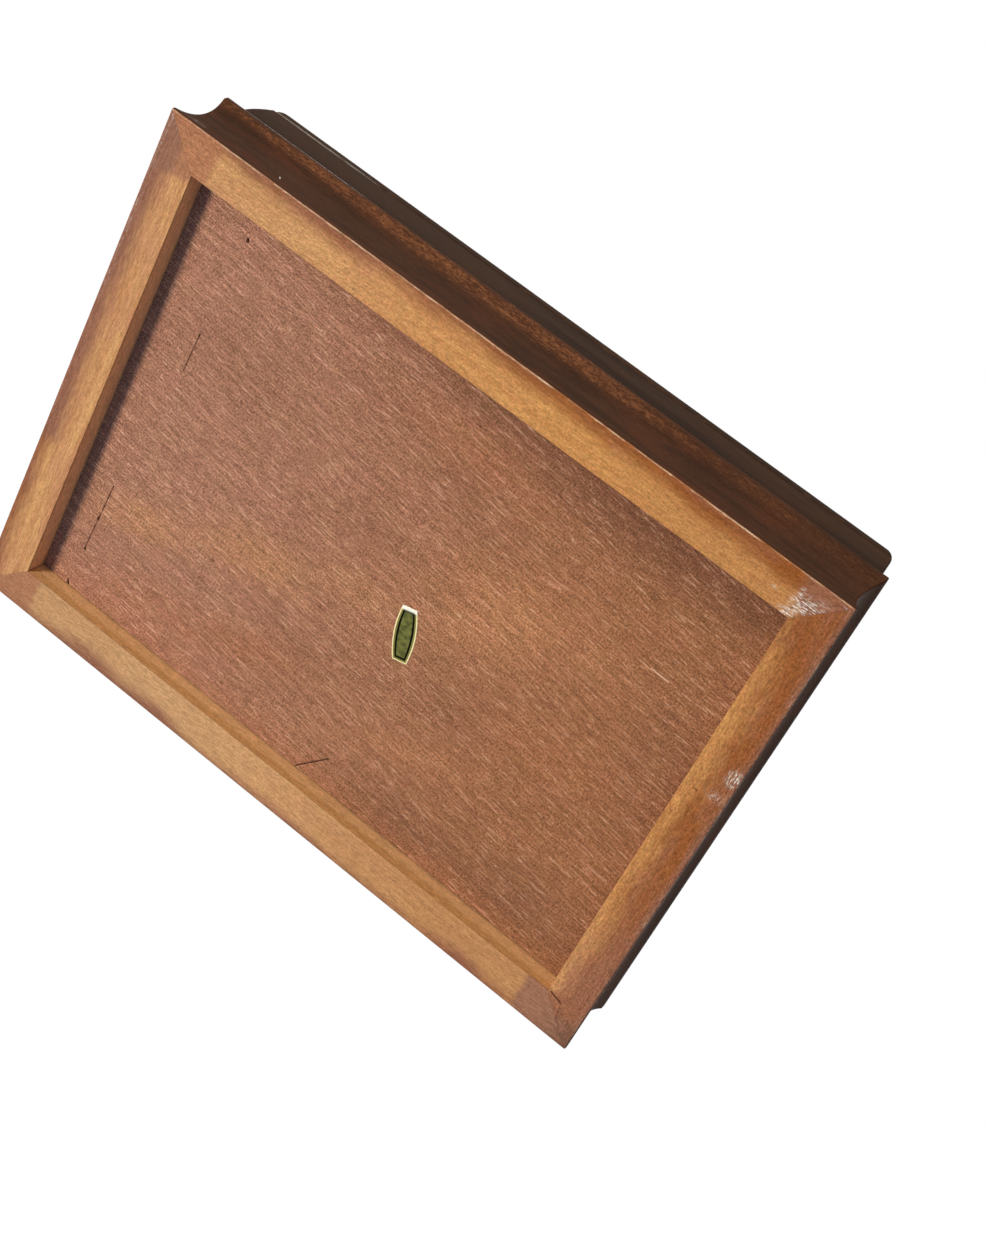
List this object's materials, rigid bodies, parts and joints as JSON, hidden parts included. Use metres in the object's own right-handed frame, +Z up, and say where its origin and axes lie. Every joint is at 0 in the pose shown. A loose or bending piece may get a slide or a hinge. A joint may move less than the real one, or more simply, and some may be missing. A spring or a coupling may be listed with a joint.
{
  "type": "wooden card box",
  "caption": "Low hinged wooden box for playing cards, with a cove-moulded tray, a divider, and a lid with a rounded top edge.",
  "frame": {"origin": "middle of the box in plan, at the level of the table under its rim", "axes": "+X along the long side to the right, +Y towards the hinges at the back, +Z up; the front faces -Y"},
  "size_m": [0.152, 0.1128, 0.0364],
  "materials": {
    "tray_wood": "dark walnut stain on the outside, rubbed orange-brown along the cove, honey brown under the rim",
    "lid_wood": "dark walnut stain under satin lacquer",
    "bottom_plywood": "raw reddish plywood with fine open grain",
    "divider_wood": "walnut stain, satin",
    "felt": "green wool felt",
    "hinge_brass": "satin brass, a little dull in the corners",
    "screw_brass": "slotted brass",
    "foil": "gold foil with a dark field, blank"
  },
  "bodies": {
    "tray": {"tray_front_rail": "tray_wood", "tray_right_rail": "tray_wood", "tray_back_rail": "tray_wood", "tray_left_rail": "tray_wood", "bottom_panel": "bottom_plywood", "divider": "divider_wood", "left_felt": "felt", "right_felt": "felt", "foil_label": "foil", "left_hinge_tray_leaf": "hinge_brass", "left_hinge_pin": "hinge_brass", "left_hinge_tray_screw_1": "screw_brass", "left_hinge_tray_screw_2": "screw_brass", "right_hinge_tray_leaf": "hinge_brass", "right_hinge_pin": "hinge_brass", "right_hinge_tray_screw_1": "screw_brass", "right_hinge_tray_screw_2": "screw_brass"},
    "lid": {"lid_front_rail": "lid_wood", "lid_right_rail": "lid_wood", "lid_back_rail": "lid_wood", "lid_left_rail": "lid_wood", "lid_board": "lid_wood", "left_hinge_lid_leaf": "hinge_brass", "left_hinge_lid_screw_1": "screw_brass", "left_hinge_lid_screw_2": "screw_brass", "right_hinge_lid_leaf": "hinge_brass", "right_hinge_lid_screw_1": "screw_brass", "right_hinge_lid_screw_2": "screw_brass"}
  },
  "joints": [
    {"name": "lid_hinge", "type": "hinge", "parent": "tray", "child": "lid", "pos_m": [0, 0.05445, 0.01767], "axis": [-1, 0, 0], "range_deg": [0, 105]}
  ]
}
